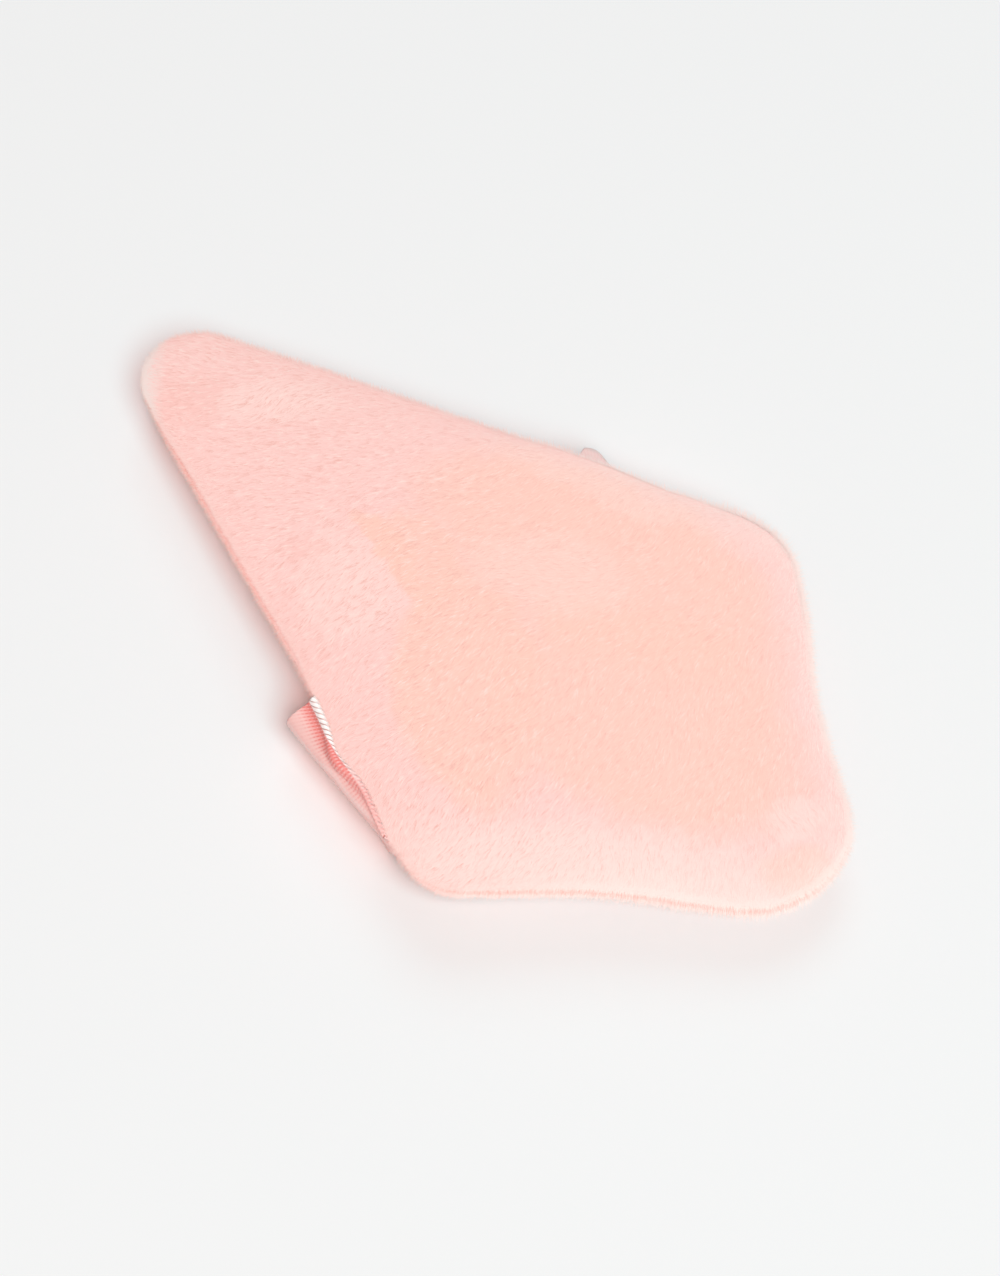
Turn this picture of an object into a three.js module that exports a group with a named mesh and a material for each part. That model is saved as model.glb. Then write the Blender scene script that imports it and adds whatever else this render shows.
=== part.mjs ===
// A kite-shaped velour powder puff, lying face up on its ribbon finger band.
// Millimetres, +Z up. X runs along the band, and Y along the kite's axis towards its long tip.
// The origin is on the surface that the puff lies on, below the middle of its length.
// Two velour panels are sewn face to face, turned right side out and filled with a sponge. Their
// seam allowances lie inside, and the ends of the ribbon are caught between them.
import * as THREE from "three";

// The kite, as sharp corners measured from the line between its two side corners
const tipReach = 95.6;
const endReach = 40.7;
const halfWidth = 34;
const tipRadius = 7.9;
const sideRadius = 8.9;
const endRadius = 12.3;
const longSideDip = 0.35; // how far the long sides draw in
const shortSideDip = 0.9;

// How the seam lies in space: it is highest over the band, and the pad droops from there
const fingerGap = 4.4; // clear height between the band and the pad
const tipDroop = 2.3;
const endDroop = 3.3;
const wingDroop = 0.6;

// Cloth and filling, in layers from the seam outwards
const clothThickness = 1.4; // knitted backing with its pile
const allowanceThickness = 0.5; // the same cloth with its pile pressed flat
const seamAllowance = 3.4; // from the stitches to the cut edge of the cloth
const seamPinch = 0.8; // how deep the groove at the seam is
const faceFill = 2.2; // height of the space inside, above the allowance
const backFill = 1.1;
const faceShoulder = 10; // how far in the rounding of the edge reaches
const backShoulder = 9;
const faceCrown = 0.4; // further rise from the shoulder to the middle
const backCrown = 0.3;
const clearance = 0.3; // left between pieces that touch

// Sewing thread
const threadRadius = 0.12;
const threadClearance = 0.12;
const stitchWave = 0.05; // how far each stitch rises and falls
const turningGap = 22; // left open for turning and filling, then sewn up by hand
const closingStitch = 2.8; // length of one hand stitch
const ladderSwing = 0.2; // how far hand stitches swing up and down across the seam

// Finger band, a satin ribbon
const ribbonWidth = 19;
const ribbonThickness = 0.36;
const ribbonAhead = 18.1; // of the middle of its sewn ends from the line between the side corners
const tailPastStitches = 1.5;
const foldAhead = 1.2; // of the rest of the ribbon from its sewn ends, which lie square to the seam
const foldOutTip = 3.9; // how far the fold stands out on the edge nearer the tip
const foldOutEnd = 1;
const foldHeight = 5;
const crestReach = 1.6; // how far the ribbon runs level out of the seam
const foldReach = 1.2; // half the height of the fold's roundest part
const landingReach = 3.4; // from the fold in to where the ribbon lies flat
const partingFade = 12; // the seam parts to let the ribbon in, and closes over this length

// Steps of the surfaces
const cornerSteps = 7;
const longSideSteps = 10;
const shortSideSteps = 8;
const shoulderSteps = 4;
const middleSteps = 3;
const threadSides = 4;
const dropSteps = 7;
const landingSteps = 5;
const ribbonStations = 4;

// The kite's incircle: every inset of the kite is the kite shrunk towards its centre
const tipHalfAngle = Math.atan(halfWidth / tipReach);
const endHalfAngle = Math.atan(halfWidth / endReach);
const tipSlope = Math.sin(tipHalfAngle);
const endSlope = Math.sin(endHalfAngle);
const incentreY = (tipReach * tipSlope - endReach * endSlope) / (tipSlope + endSlope);
const inradius = (tipReach - incentreY) * tipSlope;
const roundedOff = (radius, halfAngle) => radius / Math.sin(halfAngle) - radius;
const tipY = tipReach - roundedOff(tipRadius, tipHalfAngle);
const endY = -endReach + roundedOff(endRadius, endHalfAngle);

// The two panels, their heights counted from the seam's own surface
const face = { side: 1, fill: faceFill, shoulder: faceShoulder, crown: faceCrown };
const back = { side: -1, fill: backFill, shoulder: backShoulder, crown: backCrown };
const allowanceTop = clearance / 2 + allowanceThickness;
const outerRise = (panel) => panel.fill + clothThickness;
const backDepth = allowanceTop + outerRise(back) + backCrown;

// The stitches run just inside the edge, where both panels leave room for a thread
const threadRoom = 2 * (threadRadius + threadClearance) + stitchWave;
const roomInset = ({ fill, shoulder }) =>
  shoulder - (shoulder - clothThickness) * Math.sqrt(1 - Math.min(threadRoom / fill, 1) ** 2);
const stitchInset = Math.max(roomInset(face), roomInset(back));
const allowanceEnd = stitchInset + seamAllowance;

// How the seam droops from the band towards the tip, the wide end and both sides
const bandAhead = ribbonAhead + foldAhead;
const droop = (x, y) => {
  const [drop, reach] = y > bandAhead ? [tipDroop, tipY - bandAhead] : [endDroop, bandAhead - endY];
  return drop * ((y - bandAhead) / reach) ** 2 + wingDroop * (x / halfWidth) ** 2;
};
const bandCorner = droop(halfWidth - backShoulder, bandAhead - ribbonWidth / 2);
const seamHeight = ribbonThickness + fingerGap + backDepth + bandCorner;
const seamZ = (x, y) => seamHeight - droop(x, y);

// How far each panel gives way at the seam, where the ribbon's ends go in
const ribbonParting = ribbonThickness / 2 + clearance / 2;
function parting(inset, y) {
  const { smoothstep } = THREE.MathUtils;
  const fromRibbon = Math.abs(y - ribbonAhead) - ribbonWidth / 2;
  return (
    ribbonParting *
    (1 - smoothstep(fromRibbon, 0, partingFade)) *
    (1 - smoothstep(inset, allowanceEnd, allowanceEnd + faceShoulder))
  );
}

// A corner's radius after an inset: it shrinks with the inset, but never quite to nothing
function insetRadius(radius, inset) {
  const half = radius / 2;
  return inset < half ? radius - inset : (half * (inradius - inset)) / (inradius - half);
}

// The kite's outline at an inset, counter-clockwise from the tip: rounded corners and drawn-in sides
function outlineAt(inset) {
  const shrink = 1 - inset / inradius;
  const corners = [
    { at: new THREE.Vector2(0, tipReach), radius: tipRadius },
    { at: new THREE.Vector2(-halfWidth, 0), radius: sideRadius },
    { at: new THREE.Vector2(0, -endReach), radius: endRadius },
    { at: new THREE.Vector2(halfWidth, 0), radius: sideRadius },
  ];
  const incentre = new THREE.Vector2(0, incentreY);
  const rounded = corners.map(({ at, radius }, i) => {
    const before = corners[(i + 3) % 4].at.clone().sub(at).normalize();
    const after = corners[(i + 1) % 4].at.clone().sub(at).normalize();
    const halfAngle = Math.acos(before.dot(after)) / 2;
    const r = insetRadius(radius, inset);
    const corner = at.clone().sub(incentre).multiplyScalar(shrink).add(incentre);
    const bisector = before.clone().add(after).normalize();
    return {
      centre: corner.clone().addScaledVector(bisector, r / Math.sin(halfAngle)),
      start: corner.clone().addScaledVector(before, r / Math.tan(halfAngle)),
      end: corner.clone().addScaledVector(after, r / Math.tan(halfAngle)),
      sweep: Math.PI - 2 * halfAngle,
    };
  });
  const points = [];
  rounded.forEach((corner, i) => {
    for (let k = 0; k < cornerSteps; k++) {
      points.push(corner.start.clone().rotateAround(corner.centre, (corner.sweep * k) / cornerSteps));
    }
    const next = rounded[(i + 1) % 4];
    const along = next.start.clone().sub(corner.end);
    const inwards = new THREE.Vector2(-along.y, along.x).normalize();
    const isLong = i === 0 || i === 3;
    const steps = isLong ? longSideSteps : shortSideSteps;
    const dip = (isLong ? longSideDip : shortSideDip) * shrink;
    for (let k = 0; k < steps; k++) {
      const share = k / steps;
      const drawnIn = dip * Math.sin(Math.PI * share) ** 2;
      points.push(corner.end.clone().addScaledVector(along, share).addScaledVector(inwards, drawnIn));
    }
  });
  return points;
}

// A closed ring over the outline at an inset, on one side of the seam and at a height from it
const ringAt = (inset, side, height) =>
  outlineAt(inset).map(({ x, y }) => new THREE.Vector3(x, y, seamZ(x, y) + side * (height + parting(inset, y))));
const middleAt = (side, height) => new THREE.Vector3(0, incentreY, seamZ(0, incentreY) + side * height);

function geometryOf(points, faces) {
  const geometry = new THREE.BufferGeometry().setFromPoints(points);
  geometry.setIndex(faces.flat());
  geometry.computeVertexNormals();
  return geometry;
}

// A closed solid from a first point, rings of equal length and a last point
function solidOfRings(first, rings, last) {
  const n = rings[0].length;
  const points = [first, ...rings.flat(), last];
  const at = (ring, k) => 1 + ring * n + (k % n);
  const faces = [];
  for (let k = 0; k < n; k++) {
    faces.push([0, at(0, k), at(0, k + 1)]);
    for (let ring = 0; ring < rings.length - 1; ring++) {
      faces.push([at(ring, k), at(ring + 1, k), at(ring + 1, k + 1)]);
      faces.push([at(ring, k), at(ring + 1, k + 1), at(ring, k + 1)]);
    }
    faces.push([points.length - 1, at(rings.length - 1, k + 1), at(rings.length - 1, k)]);
  }
  return geometryOf(points, faces);
}

// Height of a panel's outer or inner surface at an inset: a rounded edge, then a slow crown
function surfaceHeight({ shoulder, crown }, edge, rise, inset) {
  const roundShare = Math.max((shoulder - inset) / (shoulder - edge), 0);
  const outShare = Math.min((inradius - inset) / (inradius - shoulder), 1);
  return allowanceTop + rise * Math.sqrt(1 - roundShare ** 2) + crown * (1 - outShare ** 2);
}

// Insets of a surface's rings, from the middle out to its edge
function ringInsets({ shoulder }, edge) {
  const middle = Array.from({ length: middleSteps }, (_, k) => {
    const outShare = (k + 1) / (middleSteps + 1);
    return inradius - (inradius - shoulder) * outShare;
  });
  const rounding = Array.from({ length: shoulderSteps + 1 }, (_, k) => {
    return shoulder - (shoulder - edge) * Math.sin((Math.PI / 2) * (k / shoulderSteps));
  });
  return [...middle, ...rounding];
}

// A velour panel with its turned-in seam allowance
function velourPanel(panel) {
  const { side, fill, crown } = panel;
  const surface = (edge, rise) =>
    ringInsets(panel, edge).map((inset) => ringAt(inset, side, surfaceHeight(panel, edge, rise, inset)));
  const rings = [
    ...surface(0, outerRise(panel)),
    ringAt(seamPinch, side, clearance / 2),
    ringAt(allowanceEnd, side, clearance / 2),
    ringAt(allowanceEnd, side, allowanceTop),
    ...surface(clothThickness, fill).reverse(),
  ];
  const outside = middleAt(side, allowanceTop + outerRise(panel) + crown);
  const inside = middleAt(side, allowanceTop + fill + crown);
  return side > 0 ? solidOfRings(outside, rings, inside) : solidOfRings(inside, rings.reverse(), outside);
}

// The sponge fills the space between the panels, inside the cut edges of their allowances
function sponge() {
  const edge = allowanceEnd + clearance;
  const half = (panel) => {
    const insets = ringInsets(panel, clothThickness).filter((inset) => inset > edge + clearance);
    return [...insets, edge].map((inset) => {
      return ringAt(inset, panel.side, surfaceHeight(panel, clothThickness, panel.fill, inset) - clearance);
    });
  };
  const middleHeight = ({ fill, crown }) => allowanceTop + fill + crown - clearance;
  const rings = [...half(face), ...half(back).reverse()];
  return solidOfRings(middleAt(1, middleHeight(face)), rings, middleAt(-1, middleHeight(back)));
}

// A round thread through points that run nearly level
function threadAlong(points, radius) {
  const rings = points.map((p, i) => {
    const along = points[Math.min(i + 1, points.length - 1)].clone().sub(points[Math.max(i - 1, 0)]);
    const across = new THREE.Vector3(-along.y, along.x, 0).normalize();
    const down = across.clone().cross(along).normalize();
    return Array.from({ length: threadSides }, (_, k) => {
      const angle = (2 * Math.PI * k) / threadSides;
      return p.clone().addScaledVector(across, radius * Math.cos(angle)).addScaledVector(down, radius * Math.sin(angle));
    });
  });
  return solidOfRings(points[0], rings, points[points.length - 1]);
}

// Distance along a line of points, and the point at a distance
function pointAlong(points, distance) {
  let left = distance;
  for (let i = 0; i < points.length - 1; i++) {
    const step = points[i].distanceTo(points[i + 1]);
    if (left <= step) return points[i].clone().lerp(points[i + 1], left / step);
    left -= step;
  }
  return points[points.length - 1].clone();
}

// The short side on the right, where the puff was turned and filled: from the end corner to the side corner
const gapSideStart = 3 * cornerSteps + longSideSteps + shortSideSteps;
const gapSideEnd = gapSideStart + shortSideSteps;
const lengthOf = (points) => points.slice(1).reduce((sum, p, i) => sum + p.distanceTo(points[i]), 0);

// The machine seam runs from one end of the turning gap round to the other
function machineThread({ side }) {
  const ring = ringAt(stitchInset, side, allowanceTop + threadClearance + threadRadius);
  const sewnUp = ring.slice(gapSideStart, gapSideEnd + 1);
  const spare = (lengthOf(sewnUp) - turningGap) / 2;
  const round = [...ring.slice(gapSideEnd), ...ring.slice(0, gapSideStart + 1)];
  const points = [pointAlong(sewnUp, spare + turningGap), ...round, pointAlong(sewnUp, spare)];
  const stitched = points.flatMap((p, i) => {
    if (i === points.length - 1) return [p];
    const between = p.clone().lerp(points[i + 1], 1 / 2);
    between.z += side * stitchWave;
    return [p, between];
  });
  return threadAlong(stitched, threadRadius);
}

// Hand stitches that swing up and down in the groove of the seam, across the turning gap
function handThread() {
  const line = ringAt(threadRadius, 1, 0).slice(gapSideStart, gapSideEnd + 1);
  const spare = (lengthOf(line) - turningGap) / 2;
  const stitches = Math.round(turningGap / closingStitch);
  const points = Array.from({ length: stitches + 1 }, (_, k) => {
    const p = pointAlong(line, spare + (turningGap * k) / stitches);
    p.z += k % 2 ? ladderSwing : -ladderSwing;
    return p;
  });
  return threadAlong(points, threadRadius);
}

// How far the pad's edge is from its axis at a place along the long side
function edgeX(y) {
  const side = outlineAt(0).filter((p) => p.x >= 0 && p.y > 0);
  side.sort((a, b) => a.y - b.y);
  const above = side.findIndex((p) => p.y >= y);
  const [a, b] = [side[above - 1], side[above]];
  return a.x + ((b.x - a.x) * (y - a.y)) / (b.y - a.y);
}

// The ribbon's middle line, on the right, from one place along its sewn end: it comes out of the seam
// square to it, folds round and under, lands on the floor and runs to the axis
function ribbonLine(share) {
  const sewnY = ribbonAhead + ribbonWidth * (share - 1 / 2);
  const edge = edgeX(sewnY);
  const seam = seamZ(edge, sewnY);
  const depth = stitchInset + tailPastStitches;
  const tail = new THREE.Vector2(edge - depth * Math.cos(tipHalfAngle), sewnY - depth * Math.sin(tipHalfAngle));
  const y = sewnY + foldAhead;
  const foldX = edgeX(y) + foldOutEnd + (foldOutTip - foldOutEnd) * share;
  const floor = ribbonThickness / 2;
  const curve = (...places) => new THREE.CubicBezierCurve3(...places.map((place) => new THREE.Vector3(...place)));
  const drop = curve(
    [edge, sewnY, seam],
    [edge + crestReach, sewnY, seam],
    [foldX, y, foldHeight + foldReach],
    [foldX, y, foldHeight],
  );
  const landing = curve(
    [foldX, y, foldHeight],
    [foldX, y, foldHeight - foldReach],
    [foldX - landingReach / 2, y, floor],
    [foldX - landingReach, y, floor],
  );
  return [
    new THREE.Vector3(tail.x, tail.y, seamZ(tail.x, tail.y)),
    ...drop.getPoints(dropSteps),
    ...landing.getPoints(landingSteps).slice(1),
    new THREE.Vector3(0, y, floor),
  ];
}

// The ribbon as a strip of even thickness that follows its middle line from seam to seam
function ribbon() {
  const upper = [];
  const lower = [];
  for (let station = 0; station <= ribbonStations; station++) {
    const right = ribbonLine(station / ribbonStations);
    const left = right.slice(0, -1).map((p) => new THREE.Vector3(-p.x, p.y, p.z));
    const line = [...right, ...left.reverse()];
    line.forEach((p, i) => {
      const before = line[Math.max(i - 1, 0)];
      const after = line[Math.min(i + 1, line.length - 1)];
      const normal = new THREE.Vector3(after.z - before.z, 0, before.x - after.x).normalize();
      const bend = i > 0 && i < line.length - 1 ? p.clone().sub(before).angleTo(after.clone().sub(p)) : 0;
      const reach = ribbonThickness / 2 / Math.cos(bend / 2);
      upper.push(p.clone().addScaledVector(normal, reach));
      lower.push(p.clone().addScaledVector(normal, -reach));
    });
  }
  const points = [...upper, ...lower];
  const n = upper.length / (ribbonStations + 1);
  const top = (station, i) => station * n + i;
  const under = (station, i) => upper.length + station * n + i;
  const faces = [];
  const quad = (a, b, c, d) => faces.push([a, b, c], [a, c, d]);
  for (let station = 0; station < ribbonStations; station++) {
    for (let i = 0; i < n - 1; i++) {
      quad(top(station, i), top(station + 1, i), top(station + 1, i + 1), top(station, i + 1));
      quad(under(station, i), under(station, i + 1), under(station + 1, i + 1), under(station + 1, i));
    }
    quad(top(station, 0), under(station, 0), under(station + 1, 0), top(station + 1, 0));
    quad(top(station, n - 1), top(station + 1, n - 1), under(station + 1, n - 1), under(station, n - 1));
  }
  for (let i = 0; i < n - 1; i++) {
    quad(top(0, i), top(0, i + 1), under(0, i + 1), under(0, i));
    const last = ribbonStations;
    quad(top(last, i), under(last, i), under(last, i + 1), top(last, i + 1));
  }
  return geometryOf(points, faces);
}

function piece(name, geometry, color, roughness) {
  const mesh = new THREE.Mesh(geometry, new THREE.MeshStandardMaterial({ color, roughness, metalness: 0 }));
  mesh.name = name;
  return mesh;
}

const velourPink = 0xfdd0c6;
const spongeWhite = 0xf4efe6;
const threadPink = 0xf3b9b0;
const satinPink = 0xf4b8b0;

const puff = new THREE.Group();
puff.add(
  piece("face_panel", velourPanel(face), velourPink, 0.95),
  piece("back_panel", velourPanel(back), velourPink, 0.95),
  piece("sponge_core", sponge(), spongeWhite, 0.9),
  piece("needle_thread", machineThread(face), threadPink, 0.6),
  piece("bobbin_thread", machineThread(back), threadPink, 0.6),
  piece("closing_stitch", handThread(), threadPink, 0.6),
  piece("finger_ribbon", ribbon(), satinPink, 0.35),
);
puff.position.y = -(tipY + endY) / 2;

export default puff;
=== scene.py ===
# A kite-shaped velour powder puff that lies face up on its satin finger band.
# Sizes are in millimetres, and meshes and lamps are made in metres from them.
from math import atan, cos, pi, radians, sin, sqrt
import bpy
import numpy as np
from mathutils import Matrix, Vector, noise


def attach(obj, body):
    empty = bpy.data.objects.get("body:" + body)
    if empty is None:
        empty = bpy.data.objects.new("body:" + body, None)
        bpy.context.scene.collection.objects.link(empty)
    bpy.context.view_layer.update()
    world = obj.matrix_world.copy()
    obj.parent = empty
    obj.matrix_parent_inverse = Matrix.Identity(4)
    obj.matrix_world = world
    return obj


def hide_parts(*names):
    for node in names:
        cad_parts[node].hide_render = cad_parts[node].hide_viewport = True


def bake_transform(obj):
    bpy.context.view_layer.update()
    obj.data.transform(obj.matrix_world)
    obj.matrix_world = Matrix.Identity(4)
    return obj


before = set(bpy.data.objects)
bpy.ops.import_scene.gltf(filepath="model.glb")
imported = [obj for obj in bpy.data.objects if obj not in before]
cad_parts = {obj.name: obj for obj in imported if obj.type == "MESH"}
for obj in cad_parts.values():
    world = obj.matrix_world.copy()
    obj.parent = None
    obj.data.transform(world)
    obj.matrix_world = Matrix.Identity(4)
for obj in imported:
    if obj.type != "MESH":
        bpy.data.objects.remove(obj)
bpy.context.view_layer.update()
mm = 0.001

# Camera at the photograph's viewing angle
photo = {
    "width": 1000,  # pixels
    "height": 1276,
    "focalPixels": 3629,
    "azimuth": -47.283,  # degrees, 0 looks along +Y
    "elevation": 59.289,
    "distance": 450,
    "target": (-1.173, -5.345, 6),
    "sensor": 36,
}


def placeCamera():
    azimuth = radians(photo["azimuth"])
    elevation = radians(photo["elevation"])
    back = Vector((sin(azimuth) * cos(elevation), -cos(azimuth) * cos(elevation), sin(elevation)))
    lensData = bpy.data.cameras.new("photoCamera")
    lensData.sensor_fit = "VERTICAL"
    lensData.sensor_height = photo["sensor"]
    lensData.sensor_width = photo["sensor"]
    lensData.lens = photo["sensor"] * photo["focalPixels"] / photo["height"]
    lensData.clip_start = 0.01
    lensData.clip_end = 20
    camera = bpy.data.objects.new("photoCamera", lensData)
    camera.location = (Vector(photo["target"]) + back * photo["distance"]) * mm
    camera.rotation_euler = back.to_track_quat("Z", "Y").to_euler()
    bpy.context.scene.collection.objects.link(camera)
    bpy.context.scene.camera = camera


placeCamera()
print("camera placed")

# The cut of the puff: its kite as sharp corners from the line between the two side corners
kite = {
    "tipReach": 95.6,
    "endReach": 40.7,
    "halfWidth": 34,
    "tipRadius": 7.9,
    "sideRadius": 8.9,
    "endRadius": 12.3,
    "longSideDip": 0.35,
    "shortSideDip": 0.9,
    "cornerSteps": 16,
    "longSideSteps": 84,
    "shortSideSteps": 46,
}

# How the seam lies: highest over the band, drooping to the tip, the wide end and the wings
lie = {
    "fingerGap": 4.4,
    "tipDroop": 2.3,
    "endDroop": 3.3,
    "wingDroop": 0.6,
}

cloth = {
    "thickness": 1.4,  # knitted backing with its pile
    "pileDepth": 0.72,  # how much of that is pile
    "allowance": 0.5,
    "clearance": 0.3,
    "lip": 0.4,  # rounding of the cloth where it turns in at the seam
    "allowanceEnd": 5.74,  # cut edge of the turned-in cloth, from the seam
    "stitchInset": 2.34,
    "backLip": 0.5,  # how far the back's lip shows past the face along the left side
    "backLipFrom": (5, 10),
    "backLipTo": (38, 50),
}
facePanel = {"side": 1, "fill": 2.2, "shoulder": 10, "crown": 0.4}
backPanel = {"side": -1, "fill": 1.1, "shoulder": 9, "crown": 0.3}
allowanceTop = cloth["clearance"] / 2 + cloth["allowance"]

tipHalfAngle = atan(kite["halfWidth"] / kite["tipReach"])
endHalfAngle = atan(kite["halfWidth"] / kite["endReach"])
incentreAhead = (kite["tipReach"] * sin(tipHalfAngle) - kite["endReach"] * sin(endHalfAngle)) / (
    sin(tipHalfAngle) + sin(endHalfAngle)
)
inradius = (kite["tipReach"] - incentreAhead) * sin(tipHalfAngle)
tipAhead = kite["tipReach"] - kite["tipRadius"] / sin(tipHalfAngle) + kite["tipRadius"]
endAhead = -kite["endReach"] + kite["endRadius"] / sin(endHalfAngle) - kite["endRadius"]
middleAhead = (tipAhead + endAhead) / 2  # the frame's Y is 0 here
incentre = np.array([0, incentreAhead - middleAhead])

band = {
    "width": 19,
    "thickness": 0.36,
    "ahead": 18.1,  # of its sewn ends' middle from the line between the side corners
    "foldAhead": 1.2,
    "partingFade": 12,
    "tailPastStitches": 1.5,
    "landingReach": 3.4,
    "valley": 0.5,  # depth of the crease beyond the roll
}
# Each fold from the ribbon's edge nearer the wide end to the one nearer the tip: how far it stands out past
# the seam, how high it is, how high the ribbon rolls out of the seam, and where its fold's edge slants to
folds = {
    # the last entry of each fold is how much painted shade darkens its crease; less of it gives a paler painted sheen
    "left": {"side": -1, "out": (-0.1, 3.95), "outPower": 1, "high": (6.2, 5), "crest": (0.1, 0.5),
             "aheadEnd": -2.6, "cornerRound": 0.04,
             "creased": 1},
    "right": {"side": 1, "out": (-0.8, 6.7), "outPower": 5, "high": (5, 4.4), "crest": (-0.3, -0.4),
              "aheadEnd": -1, "cornerRound": 0.5, "creased": 0.15},
}
sewnMiddleY = band["ahead"] - middleAhead
bandY = sewnMiddleY + band["foldAhead"]


# Where the edge of this puff strays from the cut: places on it and how they are pushed
settles = [
    {"at": (-5, 53), "reach": 6, "push": (0.6, 0.1)},
    {"at": (-30.5, -21), "reach": 6, "push": (-0.55, -0.5)},
    {"at": (30.5, -21), "reach": 5, "push": (-0.45, 0.2)},
    {"at": (22, 3), "reach": 6, "push": (0.25, 0.15)},
    {"at": (29.5, -7), "reach": 5, "push": (-0.3, -0.12)},
    {"at": (24, -34), "reach": 6, "push": (0.3, -0.2)},
    {"at": (-19, 20), "reach": 17, "push": (-0.4, 0.14)},
    {"at": (4, -56), "reach": 6, "push": (0.2, -0.35)},
    {"at": (-28, -2.9), "reach": 2.8, "push": (-1.05, 0.35)},
    {"at": (-27.3, -2), "reach": 5.5, "push": (-0.7, -0.15)},
    {"at": (-31.5, -14), "reach": 5, "push": (-0.75, 0)},
    {"at": (8, -54), "reach": 6, "push": (0.3, -0.25)},
]


def pushSettled(points):
    moved = points.copy()
    for settle in settles:
        away = ((points[:, :2] - np.array(settle["at"])) ** 2).sum(1) / settle["reach"] ** 2
        moved[:, :2] += np.exp(-away)[:, None] * np.array(settle["push"])
    return moved


def byTipShare(share, values):
    return values[0] + (values[1] - values[0]) * share


def insetRadius(radius, inset):
    half = radius / 2
    if inset < half:
        return radius - inset
    return half * (inradius - inset) / (inradius - half)


# The kite at an inset, counter-clockwise from the tip, in the frame's X and Y
def outlineAt(inset):
    shrink = 1 - inset / inradius
    places = [(0, kite["tipReach"]), (-kite["halfWidth"], 0), (0, -kite["endReach"]), (kite["halfWidth"], 0)]
    radii = [kite["tipRadius"], kite["sideRadius"], kite["endRadius"], kite["sideRadius"]]
    sharp = [np.array([x, y - middleAhead]) for x, y in places]
    rounded = []
    for i, place in enumerate(sharp):
        before = sharp[i - 1] - place
        before = before / np.linalg.norm(before)
        after = sharp[(i + 1) % 4] - place
        after = after / np.linalg.norm(after)
        halfAngle = np.arccos(before @ after) / 2
        radius = insetRadius(radii[i], inset)
        corner = incentre + (place - incentre) * shrink
        bisector = (before + after) / np.linalg.norm(before + after)
        rounded.append({
            "centre": corner + bisector * radius / np.sin(halfAngle),
            "start": corner + before * radius / np.tan(halfAngle),
            "end": corner + after * radius / np.tan(halfAngle),
            "sweep": pi - 2 * halfAngle,
        })
    points = []
    for i, corner in enumerate(rounded):
        arm = corner["start"] - corner["centre"]
        turn = corner["sweep"] * np.arange(kite["cornerSteps"])[:, None] / kite["cornerSteps"]
        across = np.array([-arm[1], arm[0]])
        points.append(corner["centre"] + arm * np.cos(turn) + across * np.sin(turn))
        isLong = i in (0, 3)
        steps = kite["longSideSteps"] if isLong else kite["shortSideSteps"]
        dip = kite["longSideDip"] if isLong else kite["shortSideDip"]
        along = rounded[(i + 1) % 4]["start"] - corner["end"]
        inwards = np.array([-along[1], along[0]]) / np.linalg.norm(along)
        share = np.arange(steps)[:, None] / steps
        points.append(corner["end"] + along * share + inwards * dip * shrink * np.sin(pi * share) ** 2)
    return np.concatenate(points)


def smooth(value, start, end):
    share = np.clip((value - start) / (end - start), 0, 1)
    return share * share * (3 - 2 * share)


def droop(x, y):
    tipShare = (y - bandY) / (tipAhead - middleAhead - bandY)
    endShare = (bandY - y) / (bandY - endAhead + middleAhead)
    along = np.where(y > bandY, lie["tipDroop"] * tipShare**2, lie["endDroop"] * endShare**2)
    return along + lie["wingDroop"] * (x / kite["halfWidth"]) ** 2


backDepth = allowanceTop + backPanel["fill"] + cloth["thickness"] + backPanel["crown"]
bandCorner = droop(kite["halfWidth"] - backPanel["shoulder"], bandY - band["width"] / 2)
seamHeight = band["thickness"] + lie["fingerGap"] + backDepth + bandCorner


def seamZ(x, y):
    return seamHeight - droop(x, y)


# The panels give way at the seam where the ribbon's ends go in
def parting(inset, y):
    fromRibbon = np.abs(y - sewnMiddleY) - band["width"] / 2
    most = band["thickness"] / 2 + cloth["clearance"] / 2
    inwards = 1 - smooth(inset, cloth["allowanceEnd"], cloth["allowanceEnd"] + facePanel["shoulder"])
    return most * (1 - smooth(fromRibbon, 0, band["partingFade"])) * inwards


def ringAt(inset, side, height):
    flat = outlineAt(inset)
    z = seamZ(flat[:, 0], flat[:, 1]) + side * (height + parting(inset, flat[:, 1]))
    return pushSettled(np.column_stack([flat, z]))


# The face's edge draws back along the left side, so that the back's lip and the seam show beside it
def recessed(ring, inset):
    shown = smooth(ring[:, 1], *cloth["backLipFrom"]) * (1 - smooth(ring[:, 1], *cloth["backLipTo"]))
    moved = ring.copy()
    moved[:, 0] += cloth["backLip"] * shown * (1 - smooth(inset, 0.5, 5)) * (ring[:, 0] < 0)
    return moved


# Meshes
def makePiece(name, points, faces, finish):
    mesh = bpy.data.meshes.new(name)
    mesh.from_pydata((np.asarray(points) * mm).tolist(), [], [list(face) for face in faces])
    mesh.materials.append(finish)
    mesh.shade_smooth()
    mesh.update()
    piece = bpy.data.objects.new(name, mesh)
    bpy.context.scene.collection.objects.link(piece)
    return piece


# A closed solid from a first point, rings of equal length and a last point
def solidOfRings(first, rings, last):
    around = len(rings[0])
    k = np.arange(around)
    after = (k + 1) % around
    faces = []
    for ring in range(len(rings) - 1):
        near = 1 + ring * around
        far = near + around
        faces += np.column_stack([near + k, far + k, far + after, near + after]).tolist()
    start = np.zeros(around, int)
    end = start + 1 + len(rings) * around
    foot = 1 + (len(rings) - 1) * around
    faces += np.column_stack([start, 1 + k, 1 + after]).tolist()
    faces += np.column_stack([end, foot + after, foot + k]).tolist()
    points = np.concatenate([[first], *rings, [last]])
    return points, faces


# Shader values and nodes
def linear(red, green, blue):
    parts = [value / 255 for value in (red, green, blue)]
    return tuple([v / 12.92 if v < 0.04045 else ((v + 0.055) / 1.055) ** 2.4 for v in parts] + [1])


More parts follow.
